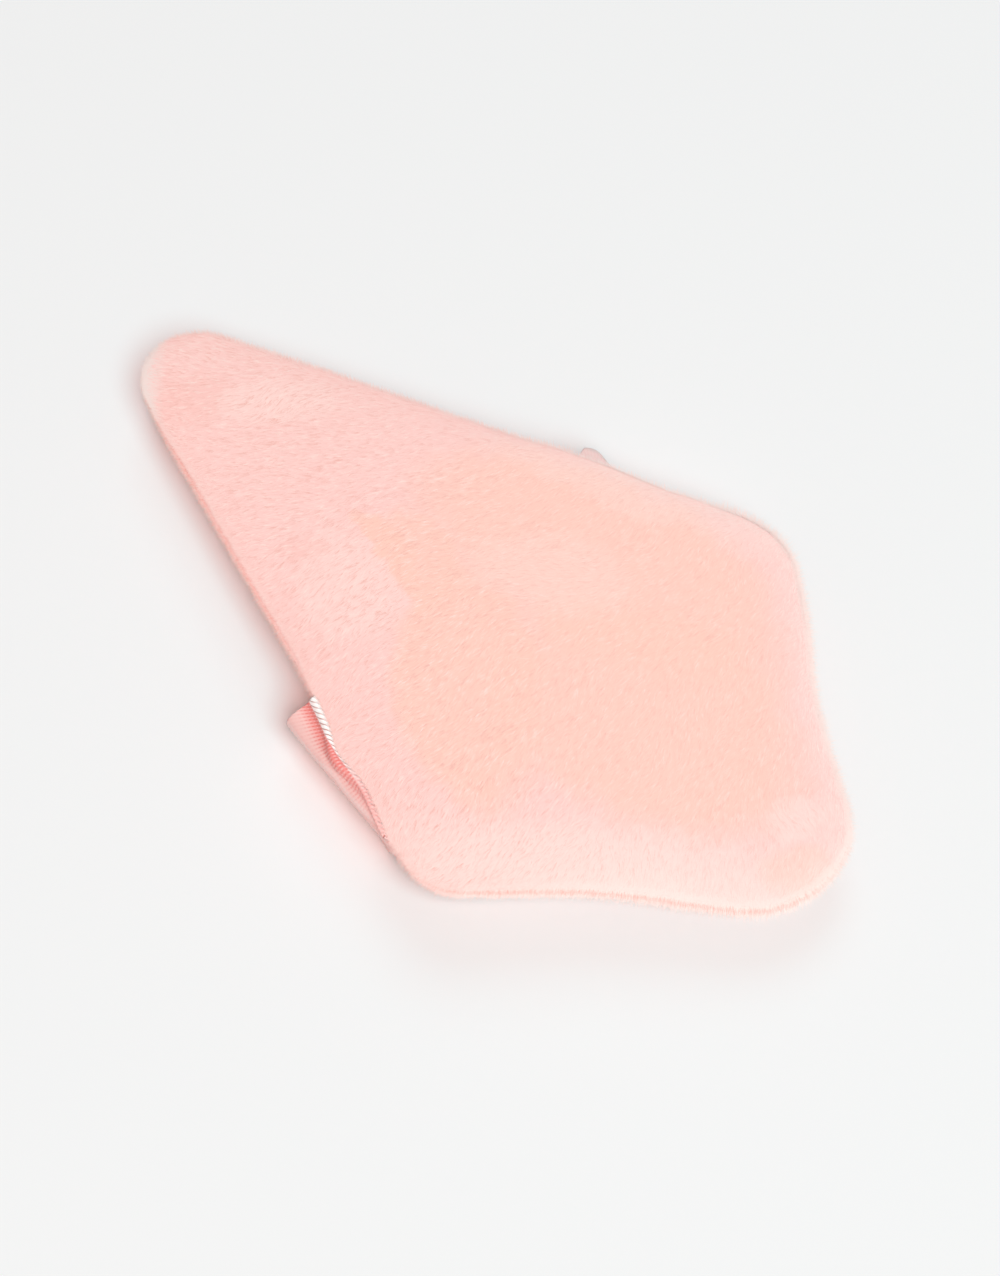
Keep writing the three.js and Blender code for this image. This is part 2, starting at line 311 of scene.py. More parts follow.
class Wire:  # a node's output that sums and products can be made from
    def __init__(self, finish, socket):
        self.finish = finish
        self.socket = socket

    def maths(self, operation, first, second):
        return self.finish.node("ShaderNodeMath", {"operation": operation}, {0: first, 1: second})

    def __add__(self, other):
        return self.maths("ADD", self, other)

    def __radd__(self, other):
        return self.maths("ADD", other, self)

    def __sub__(self, other):
        return self.maths("SUBTRACT", self, other)

    def __rsub__(self, other):
        return self.maths("SUBTRACT", other, self)

    def __mul__(self, other):
        return self.maths("MULTIPLY", self, other)

    def __rmul__(self, other):
        return self.maths("MULTIPLY", other, self)

    def __pow__(self, other):
        return self.maths("POWER", self, other)


class Finish:  # a material under way
    def __init__(self, name):
        self.material = bpy.data.materials.new(name)
        self.material.use_nodes = True
        self.tree = self.material.node_tree
        self.tree.nodes.clear()

    def node(self, kind, settings=None, inputs=None, output=0):
        made = self.tree.nodes.new(kind)
        for key, value in (settings or {}).items():
            if key == "stops":
                ramp = made.color_ramp
                while len(ramp.elements) < len(value):
                    ramp.elements.new(0.5)
                for element, (place, colour) in zip(ramp.elements, value):
                    element.position = place
                    element.color = colour
            else:
                setattr(made, key, value)
        for key, value in (inputs or {}).items():
            if isinstance(value, Wire):
                self.tree.links.new(value.socket, made.inputs[key])
            else:
                made.inputs[key].default_value = value
        return Wire(self, made.outputs[output]) if made.outputs else None

    def place(self):  # millimetres in the frame
        here = self.node("ShaderNodeTexCoord", output="Object")
        return self.node("ShaderNodeVectorMath", {"operation": "SCALE"}, {0: here, "Scale": 1 / mm})

    def part(self, vector, axis):
        return self.node("ShaderNodeSeparateXYZ", {}, {0: vector}, axis)

    def stored(self, name):
        return self.node("ShaderNodeAttribute", {"attribute_name": name}, {}, "Fac")

    def grain(self, vector, scale, detail=2, roughness=0.5):
        inputs = {"Vector": vector, "Scale": scale, "Detail": detail, "Roughness": roughness}
        return self.node("ShaderNodeTexNoise", {}, inputs, 0)

    def ease(self, value, start, end, low=0, high=1):
        settings = {"interpolation_type": "SMOOTHSTEP"}
        inputs = {"Value": value, 1: start, 2: end, 3: low, 4: high}
        return self.node("ShaderNodeMapRange", settings, inputs)

    def mix(self, share, first, second, blend="MIX"):
        settings = {"data_type": "RGBA", "blend_type": blend}
        return self.node("ShaderNodeMix", settings, {0: share, 6: first, 7: second}, 2)

    def bump(self, height, strength, distance):
        return self.node("ShaderNodeBump", {}, {"Strength": strength, "Distance": distance * mm, "Height": height})

    def surface(self, inputs):
        shader = self.node("ShaderNodeBsdfPrincipled", {}, inputs)
        self.node("ShaderNodeOutputMaterial", {}, {"Surface": shader})
        return self.material


# Velour: soft pink, stroked peach over its middle, with brush marks, and painted light: paler towards the wide end's
# left side, a painted sheen on the rim and a painted pale glow at the tip, and painted shade between tufts, at the
# fibres' roots and in the seam's groove
pileAndPaintedLight = {
    "peach": linear(255, 207, 191),
    "pink": linear(254, 210, 204),
    "pale": linear(255, 228, 220),
    "deep": linear(251, 192, 182),
    # painted shade between tufts
    "shade": linear(240, 184, 173),  # between tufts
    # painted shade in the seam's groove, painted sheen on the rim's fibres, and a painted pale glow at the tip
    "groove": linear(238, 160, 146),
    "rim": linear(255, 238, 231),
    "cream": linear(243, 228, 222),
}
brushMarks = [  # in turn: place, half length, half width and turn in degrees, and how much the nap turns
    # painted light: a pale strip along the wide end's left edge, where the surface faces the lamps
    {"at": (-19, -35), "size": (20, 4.5), "turn": -50, "colour": "pale", "share": 0.5, "soft": 0.9, "swing": 0},
    {"at": (-11, 11), "size": (8, 6), "turn": 54, "colour": "pale", "share": 0.34, "soft": 0.6, "swing": 30},
    {"at": (3, 37.5), "size": (6.5, 3.5), "turn": -47, "colour": "pale", "share": 0.4, "soft": 0.9, "swing": 50},
    {"at": (-3.5, 45.5), "size": (5, 3.5), "turn": -60, "colour": "deep", "share": 0.3, "soft": 0.9, "swing": 0},
    {"at": (-10.5, 19), "size": (4, 1.6), "turn": -47, "colour": "deep", "share": 0.3, "soft": 0.8, "swing": 0},
    {"at": (13, -9), "size": (24, 12.5), "turn": -78, "colour": "peach", "share": 0.8, "soft": 0.45, "swing": 0},
    {"at": (0.6, -28), "size": (20, 13.8), "turn": -76, "colour": "peach", "share": 0.8, "soft": 0.4, "swing": 0},
    {"at": (-11.5, -9.4), "size": (17, 8.5), "turn": 54, "colour": "peach", "share": 0.9, "soft": 0.35, "swing": 0},
    {"at": (-4.4, 9.8), "size": (7.5, 2), "turn": 61, "colour": "peach", "share": 0.95, "soft": 0.3, "swing": 0},
    {"at": (-3, 7), "size": (8, 4.8), "turn": 61, "colour": "peach", "share": 0.8, "soft": 0.35, "swing": 0},
    # painted light: a pale strip along the right long side, which the lamps barely reach
    {"at": (24, -6), "size": (21, 3.6), "turn": -70, "colour": "pale", "share": 0.35, "soft": 0.85, "swing": 0},
    {"at": (7, -6.5), "size": (10, 5.5), "turn": -62, "colour": "pale", "share": 0.25, "soft": 0.7, "swing": -35},
    {"at": (3, -50), "size": (5, 2.6), "turn": -30, "colour": "pale", "share": 0.45, "soft": 0.7, "swing": 50},
    {"at": (-1.5, -54), "size": (4.5, 2.6), "turn": -30, "colour": "peach", "share": 0.5, "soft": 0.8, "swing": 0},
]


def markDistance(mark, x, y):
    turn = radians(mark["turn"])
    away = (x - mark["at"][0], y - mark["at"][1])
    along = (away[0] * cos(turn) + away[1] * sin(turn)) * (1 / mark["size"][0])
    across = (away[1] * cos(turn) - away[0] * sin(turn)) * (1 / mark["size"][1])
    return along * along + across * across


def velourColour(finish):
    place = finish.place()
    drift = finish.grain(place, 0.09, 3) - 0.5
    waver = finish.grain(place, 0.4, 3) - 0.5
    x = finish.part(place, "X") + drift * 8 + waver * 3
    y = finish.part(place, "Y") - drift * 6 + waver * 3
    # painted light: paler towards the wide end's left side, where the surface faces the lamps
    low = finish.ease(x * 0.78 + y * 0.63, -26, -42)
    colour = finish.mix(low * 0.42, pileAndPaintedLight["pink"], pileAndPaintedLight["pale"])
    for mark in brushMarks:
        soft = mark["soft"]
        share = finish.ease(markDistance(mark, x, y), 1 + soft, 1 - soft, 0, mark["share"])
        colour = finish.mix(share, colour, pileAndPaintedLight[mark["colour"]])
    return place, colour


def backingVelour(name):
    finish = Finish(name)
    place, colour = velourColour(finish)
    flecks = finish.grain(place, 1.6, 4, 0.6)
    colour = finish.mix(finish.ease(flecks, 0.35, 0.7) * 0.25, colour, pileAndPaintedLight["deep"])
    return finish.surface({
        "Base Color": colour,
        "Roughness": 0.95,
        "Specular IOR Level": 0,
        "Normal": finish.bump(flecks, 0.25, 0.1),
    })


def pileVelour(name, rimSheenShare):
    finish = Finish(name)
    place, colour = velourColour(finish)
    tone = finish.stored("fibreTone")
    height = finish.stored("fibreHeight")
    x = finish.part(place, "X")
    y = finish.part(place, "Y")
    contrast = finish.ease(y * 0.6 - x, -20, 22, 0.64, 1.2)
    # each fibre's random streak tone picks a paler or darker colour: painted highlight on the ridges of clumps and
    # painted shade between tufts
    colour = finish.mix(finish.ease(tone, 0.55, 1) * contrast, colour, pileAndPaintedLight["pale"])
    colour = finish.mix(finish.ease(tone, 0.5, 0.08) * contrast * 0.8, colour, pileAndPaintedLight["shade"])
    # painted shade at the fibres' roots, darker the lower along the fibre
    colour = finish.mix((1 - height) * contrast * 0.25, colour, pileAndPaintedLight["deep"])
    # painted sheen on the rim's fibres, as light through the pile's edge: stronger on the right side, which the lamps
    # barely reach, and weaker along the left edge
    far = finish.ease(x * 0.68 - y * 0.73, 0, 24)
    left = finish.ease(y * 0.335 - x * 0.942, 18.5, 21.5)
    rimSheen = finish.stored("fibreAtRim") * (1 - left * 0.6) * rimSheenShare
    colour = finish.mix(rimSheen * (height * (0.6 - far * 0.5) + 0.4 + far * 0.5), colour, pileAndPaintedLight["rim"])
    # painted pale glow over the tip, as light scattered in its fuzz
    colour = finish.mix(finish.ease(y * 0.735 - x * 0.678, 39.5, 42.5, 0, 0.8), colour, pileAndPaintedLight["cream"])
    # painted shade in the seam's groove
    colour = finish.mix(finish.stored("fibreInSeam") * 0.75, colour, pileAndPaintedLight["groove"])
    return finish.surface({"Base Color": colour, "Roughness": 0.9, "Specular IOR Level": 0})


faceBacking = backingVelour("face backing")
backBacking = backingVelour("back backing")
# the numbers are each pile's share of the painted rim sheen
facePileFinish = pileVelour("face pile", 0.75)
backPileFinish = pileVelour("back pile", 0.6)
fuzzFinish = pileVelour("rim fuzz", 0.95)

# The two velour panels
swell = {
    "edge": 0.65,  # how far the knitted backing lies inside the pile's edge
    "uneven": 0.22,
    "unevenWidth": 11,
    "pucker": 0.16,
    "puckerWidth": 3.1,
    "middleRings": 22,
    "shoulderRings": 18,
}


def panelHeight(panel, edge, rise, inset):
    roundShare = max((panel["shoulder"] - inset) / (panel["shoulder"] - edge), 0)
    outShare = min((inradius - inset) / (inradius - panel["shoulder"]), 1)
    return allowanceTop + rise * sqrt(1 - roundShare**2) + panel["crown"] * (1 - outShare**2)


def ringInsets(panel, edge, middleRings, shoulderRings):
    outShares = [0.1 / middleRings] + [(k + 1) / (middleRings + 1) for k in range(middleRings)]
    middle = [inradius - (inradius - panel["shoulder"]) * share for share in outShares]
    turn = [pi / 2 * k / shoulderRings for k in range(shoulderRings + 1)]
    return middle + [panel["shoulder"] - (panel["shoulder"] - edge) * sin(angle) for angle in turn]


def gridNormals(grid):
    along = np.gradient(grid, axis=0)
    around = np.roll(grid, -1, 1) - np.roll(grid, 1, 1)
    normals = np.cross(along, around)
    return normals / np.maximum(np.linalg.norm(normals, axis=2), 1e-9)[:, :, None]


# The knitted backing's outer surface, with the small hollows of a stuffed and sewn panel
def outerGrid(panel):
    side = panel["side"]
    rise = panel["fill"] + cloth["thickness"] - cloth["pileDepth"]
    insets = ringInsets(panel, swell["edge"], swell["middleRings"], swell["shoulderRings"])
    rings = [ringAt(inset, side, panelHeight(panel, swell["edge"], rise, inset)) for inset in insets]
    lipTurns = [pi / 2 * k / 4 for k in range(1, 5)]
    for turn in lipTurns:
        lipHeight = allowanceTop - (allowanceTop - cloth["clearance"] / 2) * sin(turn)
        lipInset = swell["edge"] + cloth["lip"] * (1 - cos(turn))
        rings.append(ringAt(lipInset, side, lipHeight))
        insets.append(lipInset)
    if side > 0:
        rings = [recessed(ring, inset) for ring, inset in zip(rings, insets)]
    grid = np.array(rings)
    normals = gridNormals(grid) * side
    insets = np.array(insets)
    puckering = smooth(insets, 0.2, 1.2) * (1 - smooth(insets, 2, 5.5))
    puckering[-len(lipTurns):] = 0
    evenness = smooth(insets, 0.6, 5)
    for ring in range(len(grid)):
        for k in range(grid.shape[1]):
            place = Vector(grid[ring, k])
            lift = swell["uneven"] * evenness[ring] * noise.noise(place / swell["unevenWidth"])
            lift += swell["pucker"] * puckering[ring] * noise.noise(place / swell["puckerWidth"])
            grid[ring, k] += normals[ring, k] * lift
    return grid


def velourPanel(name, panel, finish):
    side = panel["side"]
    grid = outerGrid(panel)
    nearSeam = cloth["clearance"] / 2
    inner = ringInsets(panel, cloth["thickness"], 6, 8)
    rings = [
        *grid,
        ringAt(cloth["allowanceEnd"], side, nearSeam),
        ringAt(cloth["allowanceEnd"] + 0.12, side, (nearSeam + allowanceTop) / 2),
        ringAt(cloth["allowanceEnd"], side, allowanceTop),
        *[ringAt(inset, side, panelHeight(panel, cloth["thickness"], panel["fill"], inset)) for inset in inner[::-1]],
    ]
    outside = grid[0].mean(0)
    inside = rings[-1].mean(0)
    if side > 0:
        points, faces = solidOfRings(outside, rings, inside)
    else:
        points, faces = solidOfRings(inside, rings[::-1], outside)
    return makePiece(name, points, faces, finish), points, grid


velourFace, facePoints, faceGrid = velourPanel("velour_face", facePanel, faceBacking)
velourBack, backPoints, backGrid = velourPanel("velour_back", backPanel, backBacking)
print("velour panels sewn")

# Pile: tapering fibres that lean with the nap
pile = {
    "facePieces": 4,
    "napMiddle": 168,  # degrees, where fibres point on the face's middle, in the frame's X and Y
    "napTurn": -50,  # degrees more from the middle to the tip
    "clumpWidth": 1.15,
    "clump": 0.42,
    "swirlWidth": 7,
    "swirl": 0.35,
    "stray": 0.16,
    "streakWidth": 0.23,
    "streakSteps": (-0.24, -0.08, 0.08, 0.24),  # along the nap
    "roundness": 0.22,  # how much of a fibre's own normal its shading keeps
    "upturn": 3.4,  # how much light from above a fibre lets through, as a lift of its normal
    "rimUpturn": 1.4,
    "seamFade": 0.9,  # fibres shorten this near the seam
}
coat = {  # leans are degrees from the surface's normal
    "fibres": 47000,
    "length": 1,
    "lengthSpread": 0.2,
    "halfWidth": 0.055,
    "flatness": 0.25,
    "sunk": 0.02,
    "lean": 84,
    "leanSpread": 3,
}
fuzz = {  # finer fibres that stand out along the rim
    "fibres": 49000,
    "length": 0.8,
    "lengthSpread": 0.3,
    "halfWidth": 0.024,
    "flatness": 1,
    "sunk": 0.12,
    "lean": 38,
    "leanSpread": 18,
    "rimReach": 1.7,  # above or below the seam
}


# Pile lets light through, so its shading leans to the light from above
def shadeFromAbove(mesh, points, normals, side):
    fromSeam = np.abs(points[:, 2] - seamZ(points[:, 0], points[:, 1]))
    besideSeam = 1 - smooth(fromSeam, 0.4, 3 if side > 0 else 4.5)
    upwards = pile["upturn"] * (side > 0) + pile["rimUpturn"] * besideSeam
    lit = unit(normals + np.outer(upwards, [0, 0, 1]))
    normalOf = mesh.attributes.new("custom_normal", "FLOAT_VECTOR", "POINT")
    normalOf.data.foreach_set("vector", lit.astype(np.float32).ravel())


def scatter(grid, hair, random):
    count = hair["fibres"]
    corners = [grid[:-1], grid[1:], np.roll(grid, -1, 1)[1:], np.roll(grid, -1, 1)[:-1]]
    area = np.linalg.norm(np.cross(corners[2] - corners[0], corners[3] - corners[1]), axis=2)
    if "rimReach" in hair:
        fromSeam = np.abs(corners[0][:, :, 2] - seamZ(corners[0][:, :, 0], corners[0][:, :, 1]))
        area *= (fromSeam < hair["rimReach"]) * (1 + 1.5 * (fromSeam < pile["seamFade"] / 2))
    area = area.ravel()
    chosen = random.choice(len(area), count, p=area / area.sum())
    up, over = random.random((2, count))
    return chosen, up, over


def onGrid(values, chosen, up, over):
    across = np.roll(values, -1, 1)
    width = values.shape[-1]
    near, far = values[:-1].reshape(-1, width)[chosen], values[1:].reshape(-1, width)[chosen]
    nearNext, farNext = across[:-1].reshape(-1, width)[chosen], across[1:].reshape(-1, width)[chosen]
    up = up[:, None]
    over = over[:, None]
    return (near * (1 - up) + far * up) * (1 - over) + (nearNext * (1 - up) + farNext * up) * over


def unit(vectors):
    return vectors / np.maximum(np.linalg.norm(vectors, axis=-1, keepdims=True), 1e-9)


def wander(points, width, shift):
    return np.array([noise.noise_vector(Vector(p) / width + Vector((shift, 0, 0))) for p in points])


def napField(roots, side):
    x, y = roots[:, 0], roots[:, 1]
    angle = pile["napMiddle"] + pile["napTurn"] * y / (tipAhead - middleAhead)
    if side > 0:
        for mark in brushMarks:
            angle = angle + mark["swing"] * np.exp(-markDistance(mark, x, y))
    angle = np.radians(angle)
    return np.column_stack([np.cos(angle), np.sin(angle), 0 * angle])


# Fibres that lie in one streak of the nap share a tone: noise, evened out along the nap
def streakTones(roots, nap, random):
    total = np.zeros(len(roots))
    for step in pile["streakSteps"]:
        places = (roots + unit(nap) * step) / pile["streakWidth"]
        total += np.array([noise.noise(Vector(place)) for place in places])
    return 0.5 + 0.2 * total / total.std() + 0.08 * random.normal(size=len(roots))


def growPile(name, grid, side, hair, finish, seed):
    count = hair["fibres"]
    random = np.random.default_rng(seed)
    chosen, up, over = scatter(grid, hair, random)
    roots = onGrid(grid, chosen, up, over)
    normals = unit(onGrid(gridNormals(grid) * side, chosen, up, over))
    fromSeam = np.abs(roots[:, 2] - seamZ(roots[:, 0], roots[:, 1]))
    inSeam = 1 - smooth(fromSeam, 0.25, pile["seamFade"])
    leftEdge = smooth(roots[:, 1] * 0.335 - roots[:, 0] * 0.942, 14, 20)
    shortened = 1 - (0.1 + 0.4 * leftEdge) * inSeam
    byRibbon = 1 - smooth(np.abs(roots[:, 1] - sewnMiddleY) - band["width"] / 2, -1, 0.5)
    besideSeam = 1 - smooth(fromSeam, 0.4, 3 if side > 0 else 4.5)
    shortened *= 1 - 0.38 * byRibbon * besideSeam * (side > 0)
    farSide = smooth(roots[:, 0] * 0.68 - roots[:, 1] * 0.73, 0, 24)
    nap = napField(roots, side)
    nap += pile["clump"] * wander(roots, pile["clumpWidth"], 3.7) * (1 - 0.7 * besideSeam)[:, None]
    nap += pile["swirl"] * wander(roots, pile["swirlWidth"], 11.3)
    nap += pile["stray"] * random.normal(size=(count, 3))
    awayFromSeam = np.column_stack([np.zeros((count, 2)), np.full(count, float(side))])
    nap += awayFromSeam * (1.2 * smooth(fromSeam, 0.2, 0.6) * (1 - smooth(fromSeam, 0.6, 1.6)))[:, None]
    tones = streakTones(roots, nap, random)
    tangent = unit(nap - normals * (nap * normals).sum(1)[:, None])
    lean = np.radians(hair["lean"] * (1 - 0.5 * inSeam) + hair["leanSpread"] * random.normal(size=count))
    way = normals * np.cos(lean)[:, None] + tangent * np.sin(lean)[:, None]
    length = hair["length"] * shortened * (1 + hair["lengthSpread"] * random.normal(size=count))
    if "rimReach" in hair:
        length *= 1 + 0.5 * farSide
    start = roots - normals * hair["sunk"]
    across = unit(np.cross(way, normals))
    over = np.cross(way, across)
    spin = random.random(count) * 2 * pi
    upwards = pile["upturn"] * (side > 0) + pile["rimUpturn"] * besideSeam
    lit = normals + np.outer(upwards, [0, 0, 1])
    corners = []
    cornerNormals = []
    for k in range(3):
        angle = (spin + 2 * pi * k / 3)[:, None]
        out = across * np.cos(angle) + over * np.sin(angle) * hair["flatness"]
        corners.append(start + out * hair["halfWidth"])
        cornerNormals.append(unit(lit + pile["roundness"] * out))
    corners.append(start + way * length[:, None])
    cornerNormals.append(unit(lit + pile["roundness"] * way))
    order = np.argsort(roots[:, 1])
    cells = int(np.ceil(sqrt(count)))
    for row in range(cells):  # within a row of cells, fibres lie in order of X
        stretch = slice(row * cells, (row + 1) * cells)
        order[stretch] = order[stretch][np.argsort(roots[order[stretch], 0])]
    points = np.stack(corners, 1)[order].reshape(-1, 3)
    shading = np.stack(cornerNormals, 1)[order].reshape(-1, 3)
    tone = np.repeat(tones[order], 4)
    height = np.tile([0, 0, 0, 1.0], count)
    # shares of the painted rim sheen and of the painted shade in the seam's groove, per fibre corner
    rimSheen = np.repeat(1 - smooth(fromSeam[order], 0.3, 2 + 1.5 * farSide[order]), 4)
    inSeam = np.repeat(1 - smooth(fromSeam[order], 0.15, 0.5), 4)
    first = np.arange(count)[:, None] * 4
    faces = (first[:, :, None] + np.array([[0, 1, 3], [1, 2, 3], [2, 0, 3], [0, 2, 1]])).reshape(-1, 3)
    mesh = bpy.data.meshes.new(name)
    mesh.vertices.add(len(points))
    mesh.vertices.foreach_set("co", (points * mm).ravel())
    mesh.loops.add(faces.size)
    mesh.loops.foreach_set("vertex_index", faces.ravel())
    mesh.polygons.add(len(faces))
    mesh.polygons.foreach_set("loop_start", np.arange(len(faces)) * 3)
    mesh.update(calc_edges=True)
    mesh.materials.append(finish)
    stored = {"fibreTone": tone, "fibreHeight": height, "fibreAtRim": rimSheen, "fibreInSeam": inSeam}
    for label, values in stored.items():
        attribute = mesh.attributes.new(label, "FLOAT", "POINT")
        attribute.data.foreach_set("value", values.astype(np.float32))
    cell = np.arange(count)
    inCell = np.array([[0.15, 0.15], [0.5, 0.15], [0.85, 0.15], [0.5, 0.85]])
    corner = np.column_stack([cell % cells, cell // cells])
    spread = ((corner[:, None, :] + inCell) / cells).reshape(-1, 2)
    mesh.uv_layers.new(name="OFBake").uv.foreach_set("vector", spread[faces.ravel()].astype(np.float32).ravel())
    mesh.shade_smooth()
    normalOf = mesh.attributes.new("custom_normal", "FLOAT_VECTOR", "POINT")
    normalOf.data.foreach_set("vector", shading.astype(np.float32).ravel())
    mesh.update()
    piece = bpy.data.objects.new(name, mesh)
    piece.visible_shadow = False  # light passes between real fibres, so these don't shade each other
    piece.visible_diffuse = False
    bpy.context.scene.collection.objects.link(piece)
    return piece


for panel, points, side in ((velourFace, facePoints, 1), (velourBack, backPoints, -1)):
    flat = np.zeros(len(points) * 3)
    panel.data.vertex_normals.foreach_get("vector", flat)
    shadeFromAbove(panel.data, points, flat.reshape(-1, 3), side)

facePile = [
    growPile(f"face_pile_{k + 1}", faceGrid, 1, coat, facePileFinish, 20 + k)
    for k in range(pile["facePieces"])
]
facePile.append(growPile("face_fuzz", faceGrid, 1, fuzz, fuzzFinish, 40))
backPile = [
    growPile("back_pile", backGrid, -1, coat, backPileFinish, 30),
    growPile("back_fuzz", backGrid, -1, fuzz, fuzzFinish, 41),
]
print("pile grown")

# Finger band: satin ribbon, caught in the seam at both long sides
satin = {
    "pale": linear(249, 203, 197),
    # the deep colour is painted shade in the crease, the glint a painted highlight, and the colour between the roll's
    # strands painted shade
    "deep": linear(234, 118, 112),
    "glint": linear(255, 250, 247),
    "gap": linear(188, 136, 128),  # between strands
    "weftPitch": 0.5,
    "rowPitch": 0.43,
    "rowLay": 0.52,
    "twistPitch": 0.48,  # of the strands on the roll
    "twistLay": 0.6,  # how far they stray from the ribbon's sewn edge, per millimetre
    "rib": 0.07,
    "bend": (1.7, 5),  # of the fold, from the seam
    "rollEnd": (0.05, 0.75),
    "across": 176,
    "pace": ((3, 6), (5.6, 58), (8, 20)),  # steps up to distances from the sewn tail's end
    "bendSteps": 26,
    "flatSteps": 10,
}


def edgeX(y):
    side = outlineAt(0)
    side = side[side[:, 0] >= 0]
    side = side[np.argsort(side[:, 1])]
    side = side[side[:, 1] > -middleAhead]
    return np.interp(y, side[:, 1], side[:, 0])


# Cuts the corners of a line of points until it is a smooth curve with the same ends
def softened(points, times):
    for _ in range(times):
        near = points[:-1] * 0.75 + points[1:] * 0.25
        far = points[:-1] * 0.25 + points[1:] * 0.75
        between = np.stack([near, far], 1).reshape(-1, points.shape[1])
        points = np.concatenate([points[:1], between[1:-1], points[-1:]])
    return points


# Points along a line, closest round the roll and the crease
def pacedBy(points, pace, steps):
    lengths = np.concatenate([[0], np.cumsum(np.linalg.norm(np.diff(points, axis=0), axis=1))])
    distances = [np.zeros(1)]
    for reach, count in (*pace, (lengths[-1], steps)):
        distances.append(np.linspace(distances[-1][-1], reach, count + 1)[1:])
    distances = np.concatenate(distances)
    return np.column_stack([np.interp(distances, lengths, points[:, axis]) for axis in range(3)])


# The ribbon's middle line on one side, from one place across its width, drawn as if on the right:
# it rolls out of the seam, creases, slopes out to its fold, turns under and lies flat to the axis
def ribbonLine(share, fold):
    y0 = sewnMiddleY + band["width"] * (share - 0.5)
    edge = edgeX(y0)
    seam = seamZ(edge, y0)
    depth = cloth["stitchInset"] + band["tailPastStitches"]
    tailX = edge - depth * cos(tipHalfAngle)
    tailY = y0 - depth * sin(tipHalfAngle)
    shift = byTipShare(share, (fold["aheadEnd"], band["foldAhead"]))
    y = y0 + shift
    rounded = 1 - fold["cornerRound"] * (max(share - 0.8, 0) / 0.2) ** 2
    out = byTipShare(share ** fold["outPower"], fold["out"]) * rounded
    foldX = edgeX(y) + out
    foldZ = byTipShare(share, fold["high"])
    restY = y0 + band["foldAhead"]
    restX = edgeX(restY) - 0.5
    crest = byTipShare(share, fold["crest"])
    valley = band["valley"] * share
    floor = band["thickness"] / 2
    drop = seam - foldZ
    mirror = np.array([fold["side"], 1, 1])
    sewn = pushSettled(np.array([
        (tailX, tailY, seamZ(tailX, tailY)),
        (edge - 1, y0, seam),
        (edge - 0.35, y0, seam + crest),
        (edge + 0.04 * out, y0, seam + crest),
    ]) * mirror) * mirror
    line = softened(np.array([
        *sewn,
        (sewn[3, 0] + 0.1 * out, y0 + 0.2 * shift, seam - valley),
        (sewn[3, 0] * 0.8 + edge * 0.2 + 0.3 * out, y0 + 0.4 * shift, seam - valley - 0.08 * drop),
        (edge + 0.7 * out, y0 + 0.7 * shift, seam - valley - 0.18 * drop),
        (foldX + 0.06 * out, y, foldZ + 0.35 * drop),
        (foldX + 0.05 * out, y, foldZ - 0.35),
        (restX + 0.3 * (foldX - restX), (y + restY) / 2, foldZ * 0.4),
        (restX, restY, floor),
        (restX - band["landingReach"] / 2, restY, floor),
    ]), 5)
    return line, np.array((0, restY, floor))


def ribbonFinish():
    finish = Finish("satin")
    across = finish.stored("acrossRibbon")
    fromSeam = finish.stored("fromSeam")
    weftTurns = fromSeam * (2 * pi / satin["weftPitch"])
    rowTurns = (across - fromSeam * satin["rowLay"]) * (2 * pi / satin["rowPitch"])
    weft = finish.node("ShaderNodeMath", {"operation": "COSINE"}, {0: weftTurns})
    rows = finish.node("ShaderNodeMath", {"operation": "COSINE"}, {0: rowTurns})
    weave = rows * (weft * 0.2 + 0.3) + 0.5
    twistTurns = (fromSeam - across * satin["twistLay"]) * (2 * pi / satin["twistPitch"])
    twist = finish.node("ShaderNodeMath", {"operation": "COSINE"}, {0: twistTurns})
    # painted shade in the crease beyond the roll, full on the left fold and light on the right
    creased = finish.stored("creased")
    pastRoll = fromSeam - finish.ease(across, 3, 14, *satin["rollEnd"])
    creased = creased * finish.ease(across, 0, 13, 0.15, 1)
    crease = finish.ease(pastRoll, 2.1, 0.6, 0, 0.75) * creased
    colour = finish.mix(crease, satin["pale"], satin["deep"])
    # the weave's dots, darker in its low spots and shown only in the crease's painted shade
    dots = finish.ease(weave, 0.6, 0.2) * finish.ease(pastRoll, 2.8, 1, 0.08, 0.8) * creased
    colour = finish.mix(dots, colour, satin["deep"])
    gleam = finish.ease(weave, 0.55, 0.95) * finish.ease(pastRoll, 2, 0.5, 0.1, 0.6)
    colour = finish.mix(gleam, colour, satin["pale"])
    bendStart, bendEnd = satin["bend"]
    fromBend = fromSeam - across * ((bendEnd - bendStart) / band["width"]) - bendStart
    # painted highlight along the fold's bend
    colour = finish.mix(finish.ease(fromBend * fromBend, 0.2, 0.02) * 0.2, colour, satin["glint"])
    # painted sheen over the less shaded right fold
    colour = finish.mix(0.3 - finish.stored("creased") * 0.3, colour, satin["glint"])
    # painted highlight on the roll's strands
    roll = finish.ease(pastRoll, 0.12, -0.1) * finish.ease(across, 3, 11, 0.2, 1) * creased
    colour = finish.mix(roll, colour, satin["glint"])
    # painted shade between the roll's strands
    gaps = finish.ease(twist, -0.3, -0.9) * finish.ease(pastRoll, -0.9, -0.3, 0.2, 0.85) * roll
    gaps = gaps * finish.ease(across, 7, 11, 0.3, 1)
    colour = finish.mix(gaps, colour, satin["gap"])
    return finish.surface({
        "Base Color": colour,
        "Roughness": 0.42,
        "Specular IOR Level": 0.3,
        "Normal": finish.bump(weave, 0.4, 0.04),
    })


